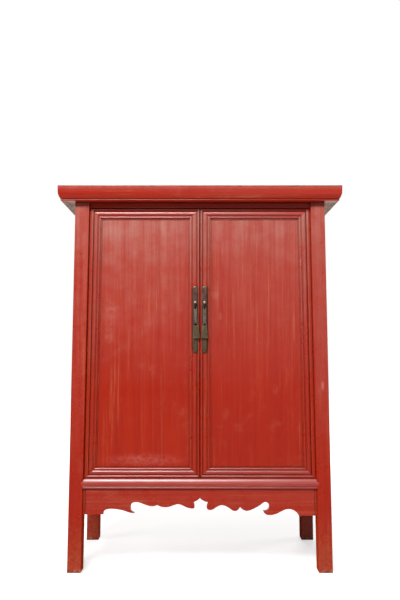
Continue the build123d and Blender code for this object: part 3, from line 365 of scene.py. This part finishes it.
    def foot_worn(self, tone, chip):
        """Feet that are paler towards the floor, dusty and painted lighter, with chips at the floor."""
        # paler feet: dusty, and a painted light that offsets the dimmer light near the floor
        foot_pale = self.times(self.ramp(self.level, FOOT_DUST_AND_LIGHT, 0.0), self.ramp(self.grit, 0.35, 0.6, 0.15, 0.5))
        tone = self.mix(foot_pale, tone, DUST_AND_PAINTED_LIGHT)
        sole = self.times(self.ramp(self.level, SOLE, SOLE / 4), self.ramp(self.grit, 0.5, 0.56))
        return tone, self.math("MAXIMUM", chip, self.times(sole, 0.6))

    def soiled_and_shaded(self, tone, jamb):
        """Dirt near grooves and corners, and painted shade deep in them; returns the dirt and the shade
        too.

        The joint between leg and door takes no dirt or painted shade, and the door's edge there is painted
        lighter, a painted light against the shade of the recess.
        """
        near = self.crevice(0.012, 0.55, 0.96)
        deep = self.times(self.crevice(0.006, 0.25, 0.85), 0.95)
        if jamb:
            side = self.math("ABSOLUTE", self.part_of(self.place, X))
            upright = self.math("ADD", side, self.times(self.level, SIDE_SLOPE))
            off = self.math("SUBTRACT", upright, JAMB_AT_FLOOR)
            calm = self.ramp(self.math("ABSOLUTE", off), 0.003, 0.008)
            near = self.times(near, calm)
            deep = self.times(deep, calm)
        tone = self.mix(self.times(near, self.ramp(self.blotch, 0.3, 0.65, 0.3, 0.8)), tone, GRIME)
        # painted shade: near-black deep in grooves and corners
        tone = self.mix(deep, tone, LACQUER_CREVICE_SHADE)
        if jamb:
            # painted light: the door's edge beside the leg is lighter against the shade of the recess
            beside = self.times(self.ramp(off, -0.012, -0.006, 0.0, 0.55), self.ramp(off, 0.0012, 0.0))
            tone = self.mix(beside, tone, JAMB_PAINTED_LIGHT)
        return tone, near, deep

    def bared(self, tone, rough, near, axis, sense):
        """Bare old wood on the faces that look one way; returns the tone and the roughness."""
        bare = self.ramp(self.part_of(self.facing, axis), sense * 0.8, sense * 0.95)
        wood, wood_rough, _ = wood_parts(self, self.axis, self.seed + 20.0, BARE_LIGHT, BARE_DARK)
        # darker near grooves and corners
        wood = self.glaze(wood, BARE_CORNER_DARK, near, 0.4)
        dots = self.ramp(self.noise(95.0, self.seed + 21.0, detail=4.0), 0.5, 0.57)
        wood = self.glaze(wood, BARE_DOTS, dots, 0.75)
        rough = self.math("ADD", self.times(rough, self.math("SUBTRACT", 1.0, bare)),
                          self.times(wood_rough, bare))
        return self.mix(bare, tone, wood), rough


def lacquer(name, axis, seed, haze=1.0, sheen_span=(0.72, 0.3, 0.26), wear=1.0, scuffs=(), shade=1.0,
            gloss=0.24, specular=0.22, uneven=1.0, coat=0.0, bare=None, feet=False, top=False,
            jamb=False, under=0.0):
    """A lacquered piece.

    haze and veils: the painted sheen of reflected light, the height where it starts, and its low and high
    amounts.
    wear, scuffs: how worn it is all over, and its rubbed spots.
    shade: below 1 it is darker all over, a painted shade.
    gloss, specular, uneven, coat: its roughness, its shine, its waviness and a shinier top layer.
    bare: the direction in which its faces are bare wood.
    feet, top, jamb: it has the feet, dusty and painted lighter, the top's rim, worn and with a painted
    highlight, or the joint beside a door, with painted light.
    under: the height above which it is darker and duller, a painted shade below the top.
    """
    look = Lacquer(name, axis, seed, wear)
    tone = look.brushed()
    # painted sheen: pale reflected light, stronger towards the top
    if haze:
        tone = look.sheen_painted(tone, haze, *sheen_span)
    tone = look.rubbed(tone)
    tone, scratch = look.scratched(tone)
    for scuff in scuffs:
        tone = look.scuffed(tone, *scuff)
    tone, chip = look.edge_worn(tone)
    if top:
        tone, chip = look.rim_worn(tone, chip)
    if feet:
        tone, chip = look.foot_worn(tone, chip)
    tone = look.glaze(tone, BARE_LIGHT, chip, 0.8 * wear)
    tone, near, deep = look.soiled_and_shaded(tone, jamb)

    # dirt and the painted shade in grooves take the shine away, and so do the inner sides of the legs
    sheen = look.math("SUBTRACT", specular, look.times(look.math("MAXIMUM", near, deep), specular))
    # painted shade below the top: darker and duller above this height
    if under:
        shaded = look.ramp(look.level, under, under + 0.008)
        tone = look.glaze(tone, LACQUER_SHADED, shaded, 0.5)
        sheen = look.times(sheen, look.math("SUBTRACT", 1.0, look.times(shaded, 0.8)))
    if feet:
        inward = look.times(look.part_of(look.facing, X), look.part_of(look.place, X))
        sheen = look.times(sheen, look.ramp(inward, -0.3, -0.1))

    marred = look.math("MAXIMUM", scratch, chip)
    rough = look.ramp(look.blotch, 0.3, 0.7, gloss, gloss + 0.12)
    rough = look.math("ADD", rough, look.times(marred, 0.25))
    height = look.math("ADD", look.times(look.fine, 0.5), look.broad)
    height = look.math("ADD", height, look.times(look.blotch, uneven))
    height = look.math("SUBTRACT", height, look.times(marred, 0.6))
    # painted shade: the whole piece darker, as for a leg in shadow
    if shade < 1.0:
        tone = look.mix(1.0, tone, (shade, shade, shade, 1.0), "MULTIPLY")
    if bare:
        tone, rough = look.bared(tone, rough, near, *bare)
    if coat:
        look.feed(look.bsdf.inputs["Coat Weight"], look.times(sheen, coat / specular))
        look.feed(look.bsdf.inputs["Coat IOR"], 1.8)
        look.feed(look.bsdf.inputs["Coat Roughness"], 0.36)
    return look.finish(tone, rough, look.bump(height, 0.0004, 0.3), specular=sheen)


# ---------------------------------------------------------------- metal
def aged_metal(name, seed, base, rubbed, patina, rim, blade=None, stained=(), gloss=0.36):
    """Dull patinated brass; its sides are darker, a painted shade.

    blade: the colour below the pierced hole, where it differs.
    stained: round black spots on the line of the pulls, painted shade where a hole or gap lies dark, each
    with its height and radius.
    """
    look = Look(name)
    mottle = look.noise((95.0, 95.0, 70.0), seed, detail=6.0, roughness=0.65)
    cloud = look.noise((60.0, 60.0, 26.0), seed + 1.0, detail=3.0)
    file_marks = look.noise((900.0, 900.0, 60.0), seed + 2.0, detail=3.0)
    level = look.part_of(look.place, Z)
    if blade is not None:
        base = look.mix(look.ramp(level, BLADE_HOLE + 0.008, BLADE_HOLE - 0.011), base, blade)
    tone = look.glaze(base, patina, look.ramp(mottle, 0.42, 0.66), 0.7)
    tone = look.glaze(tone, rubbed, look.ramp(cloud, 0.5, 0.68), 0.5)
    # sharp edges in the rim colour: rubbed bright on the fittings and the knob, a painted shade on the
    # plate
    tone = look.glaze(tone, rim, look.edge(0.0012, 0.02, 0.25), 0.7)
    # painted shade: faces that look sideways take the dark patina colour
    side_shade = look.ramp(look.part_of(look.facing, Y), -0.85, -0.45)
    tone = look.glaze(tone, patina, side_shade, 0.6)
    # near-black in crevices, partly blackened metal and partly painted shade, and painted shade in the
    # round spots
    soot_and_shade = look.crevice(0.006, 0.25, 0.85)
    for middle, radius in stained:
        side = look.math("SUBTRACT", look.math("ABSOLUTE", look.part_of(look.place, X)), PULL_AT)
        drop = look.math("SUBTRACT", level, middle)
        spot = look.ramp(look.distance(side, drop), radius, radius * 0.7)
        soot_and_shade = look.math("MAXIMUM", soot_and_shade, spot)
    tone = look.glaze(tone, SOOT_AND_SHADE, soot_and_shade, 0.92)
    rough = look.ramp(mottle, 0.3, 0.7, gloss, gloss + 0.2)
    metallic = look.ramp(mottle, 0.4, 0.75, 0.95, 0.6)
    height = look.math("ADD", mottle, look.times(file_marks, 0.4))
    return look.finish(tone, rough, look.bump(height, 0.0004, 0.4), metallic=metallic)


# ---------------------------------------------------------------- materials of the carried-over nodes
looks = {
    "post": lacquer("lacquer_post", Z, 1.0, haze=0.8, sheen_span=(0.35, 0.28, 0.14), scuffs=LEG_SCUFFS,
                    specular=0.35, feet=True, jamb=True, under=TOP - 0.08),
    # the rear legs are darker all over, a painted shade
    "rear_left_post": lacquer("lacquer_rear_left_post", Z, 18.0, haze=0.5, shade=0.8, feet=True),
    "rear_right_post": lacquer("lacquer_rear_right_post", Z, 19.0, haze=0.5, shade=0.53, feet=True),
    "front_rail": lacquer("lacquer_front_rail", X, 2.0, haze=0.0, gloss=0.33, specular=0.9,
                          uneven=4.0, coat=0.6, under=TOP - 0.11),
    "apron": lacquer("lacquer_apron", X, 3.0, sheen_span=(0.0, 0.26, 0.0), wear=1.6, specular=0.35),
    "side_rail": lacquer("lacquer_side_rail", Y, 4.0, haze=0.5, specular=0.35),
    "side_panel": lacquer("lacquer_side_panel", Z, 5.0, haze=0.8, wear=1.2, specular=0.35),
    "stile": lacquer("lacquer_stile", Z, 6.0, haze=0.95, gloss=0.26, specular=0.6, uneven=2.0,
                     bare=BACK, jamb=True, under=TOP - 0.095),
    "door_rail": lacquer("lacquer_door_rail", X, 7.0, haze=0.0, gloss=0.28, specular=1.0,
                         uneven=3.0, coat=0.35, bare=BACK, under=TOP - 0.095),
    "left_panel": lacquer("lacquer_left_panel", Z, 8.0, wear=1.2, scuffs=LEFT_PANEL_SCUFFS,
                          gloss=0.3, specular=0.35, bare=BACK),
    "right_panel": lacquer("lacquer_right_panel", Z, 9.0, haze=0.78, wear=0.9,
                           scuffs=RIGHT_PANEL_SCUFFS, gloss=0.3, specular=0.35, bare=BACK),
    "top_long": lacquer("lacquer_top_long", X, 10.0, haze=0.0, wear=1.2, gloss=0.28, specular=0.5,
                        top=True),
    "top_short": lacquer("lacquer_top_short", Y, 11.0, haze=0.0, wear=1.2, gloss=0.28, specular=0.5,
                         bare=DOWN, top=True),
    "inner_x": bare_wood("wood_inner_x", X, 12.0, colour(178, 142, 104), colour(122, 88, 58)),
    "inner_y": bare_wood("wood_inner_y", Y, 13.0, colour(172, 136, 98), colour(116, 82, 54)),
    "back_x": bare_wood("wood_back_x", X, 14.0, colour(112, 66, 46), colour(66, 34, 24)),
    "back_z": bare_wood("wood_back_z", Z, 15.0, colour(118, 72, 50), colour(70, 38, 26)),
    # the plate's dark rim is a painted shade along its edges
    "plate": aged_metal("metal_plate", 16.0, colour(116, 88, 80), colour(140, 114, 94),
                        colour(78, 54, 46), rim=colour(64, 44, 34), blade=colour(120, 100, 76),
                        stained=((STAPLE_SHADE_SPOT, 0.0085), (BLADE_HOLE, 0.0065)), gloss=0.46),
    "fitting": aged_metal("metal_fitting", 17.0, colour(142, 128, 110), colour(170, 156, 132),
                          colour(74, 60, 48), rim=colour(158, 144, 116), blade=colour(126, 110, 84),
                          stained=((BLADE_HOLE, 0.0045),)),
    # the knob's very pale brass stands partly for its highlight: polished metal and a painted highlight
    "knob": aged_metal("metal_knob", 18.0, colour(238, 222, 190), colour(248, 236, 212),
                       colour(186, 156, 118), rim=colour(230, 214, 184), gloss=0.32),
    "staple": aged_metal("metal_staple", 19.0, colour(84, 66, 48), colour(120, 100, 74),
                         colour(44, 32, 22), rim=colour(120, 100, 74)),
}


def look_of(node):
    """The name of the look that a CAD node takes."""
    if node.endswith("_plate"):
        return "plate"
    if node.endswith("_lug"):
        return "knob"
    if node.endswith("_staple"):
        return "staple"
    if node.endswith("_pull"):
        return "fitting"
    if node.endswith("_leg"):
        return "post" if node.startswith("front") else node.replace("_leg", "_post")
    if node in ("left_door_panel", "right_door_panel"):
        return node.replace("_door", "")
    if node.endswith("_stile"):
        return "stile"
    if "_door_" in node and node.endswith("_rail"):
        return "door_rail"
    if node.startswith("top_") and "batten" not in node:
        return "top_short" if node in ("top_left_rail", "top_right_rail") else "top_long"
    if node.startswith("back_"):
        return "back_z" if node.endswith("panel") else "back_x"
    if "bearer" in node or node.startswith("top_") or node == "floor_batten":
        return "inner_y"
    if "batten" in node or "shelf" in node or "floor" in node or "stop" in node:
        return "inner_x"
    if "side_panel" in node:
        return "side_panel"
    if "side_" in node:
        return "side_rail"
    return "apron" if node == "front_apron" else "front_rail"


for name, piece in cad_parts.items():
    piece.data.materials.clear()
    piece.data.materials.append(looks[look_of(name)])

# ---------------------------------------------------------------- floor
FLOOR_REACH = 9.0
floor_mesh = bpy.data.meshes.new("floor")
floor_corners = [(x * FLOOR_REACH, y * FLOOR_REACH, 0.0) for x, y in ((-1, -1), (1, -1), (1, 1), (-1, 1))]
floor_mesh.from_pydata(floor_corners, [], [(0, 1, 2, 3)])
floor = bpy.data.objects.new("floor", floor_mesh)
scene.collection.objects.link(floor)


def floor_look():
    """A white studio floor that takes a soft shadow.

    It glows to the camera, and in reflections only behind the cabinet, so the doors don't mirror it.
    """
    look = Look("floor_white")
    rays = look.add("ShaderNodeLightPath").outputs
    grain = look.noise(1.5, 3.0, detail=2.0)
    tone = look.mix(grain, FLOOR_DARK, FLOOR_LIGHT)
    tone = look.glaze(tone, BLACK, rays["Is Glossy Ray"], 0.65)
    look.finish(tone, 0.85, look.bump(grain, 0.0005, 0.1), specular=0.1)

    behind = look.ramp(look.part_of(look.place, Y), -0.6, 0.0)
    seen = look.times(rays["Is Glossy Ray"], behind)
    seen = look.math("MAXIMUM", seen, rays["Is Camera Ray"])
    seen = look.math("MAXIMUM", seen, rays["Is Transmission Ray"])
    from_middle = look.add("ShaderNodeVectorMath", operation="LENGTH")
    look.feed(from_middle.inputs[0], look.place)
    strength = look.ramp(from_middle.outputs["Value"], 0.8, 3.0, 0.55, 1.0)
    glow = look.add("ShaderNodeEmission")
    look.feed(glow.inputs["Color"], WHITE)
    look.feed(glow.inputs["Strength"], look.times(seen, strength))
    both = look.add("ShaderNodeAddShader")
    look.feed(both.inputs[0], look.bsdf.outputs[0])
    look.feed(both.inputs[1], glow.outputs[0])
    look.feed(look.output.inputs[0], both.outputs[0])
    return look.material


floor.data.materials.append(floor_look())


# ---------------------------------------------------------------- light
def fill_world(tree):
    """A backdrop that is white to the camera, lights weakly, and is mirrored only towards +Y."""
    studio = Nodes(tree)
    rays = studio.add("ShaderNodeLightPath").outputs
    direction = studio.add("ShaderNodeTexCoord").outputs["Generated"]
    backdrop = studio.ramp(studio.part_of(direction, Y), 0.35, 0.75, 0.06, 1.0, smooth=False)
    mirrored = studio.times(rays["Is Glossy Ray"], backdrop)
    direct = studio.math("MAXIMUM", rays["Is Camera Ray"], rays["Is Transmission Ray"])
    seen = studio.math("MAXIMUM", direct, mirrored)
    background = studio.add("ShaderNodeBackground")
    studio.feed(background.inputs["Color"], WHITE)
    studio.feed(background.inputs["Strength"], studio.ramp(seen, 0.0, 1.0, 0.1, 1.0, smooth=False))
    output = studio.add("ShaderNodeOutputWorld")
    studio.feed(output.inputs["Surface"], background.outputs[0])


world = bpy.data.worlds.new("studio")
scene.world = world
world.use_nodes = True
fill_world(world.node_tree)


def soft_box(name, place, target, width, height, power):
    """A rectangular area lamp aimed at a point."""
    lamp = bpy.data.lights.new(name, "AREA")
    lamp.shape = "RECTANGLE"
    lamp.size = width
    lamp.size_y = height
    lamp.energy = power
    holder = bpy.data.objects.new(name, lamp)
    holder.location = place
    direction = Vector(target) - Vector(place)
    holder.rotation_euler = direction.to_track_quat("-Z", "Y").to_euler()
    scene.collection.objects.link(holder)


MIDDLE = (0.0, 0.0, 0.9)
LOWER_MIDDLE = (0.0, 0.0, 0.8)
soft_box("key", (-1.1, -4.4, 5.8), MIDDLE, 2.3, 1.9, 388.0)
soft_box("fill", (1.2, -5.0, 1.6), MIDDLE, 2.4, 2.0, 12.0)
soft_box("left", (-4.0, -1.2, 2.6), LOWER_MIDDLE, 1.6, 2.0, 40.0)
soft_box("right", (4.2, 1.6, 2.6), LOWER_MIDDLE, 1.6, 2.0, 45.0)
soft_box("rear", (0.6, 4.2, 4.0), MIDDLE, 3.0, 2.0, 170.0)

# ---------------------------------------------------------------- camera
PHOTO_HEIGHT = 600        # pixels
EYE_ROW = 349.75          # the pixel row of the photo at eye level
EYE = (0.0002, -2.589, 0.877)
SENSOR = 36.0             # millimetres along the picture's height, and the lens is as long

camera_data = bpy.data.cameras.new("camera")
camera_data.lens = SENSOR
camera_data.sensor_width = SENSOR
camera_data.shift_y = (EYE_ROW - PHOTO_HEIGHT / 2) / PHOTO_HEIGHT
camera = bpy.data.objects.new("camera", camera_data)
camera.location = EYE
camera.rotation_euler = (math.radians(90), 0.0, 0.0)
scene.collection.objects.link(camera)
scene.camera = camera

scene.view_settings.view_transform = "Standard"
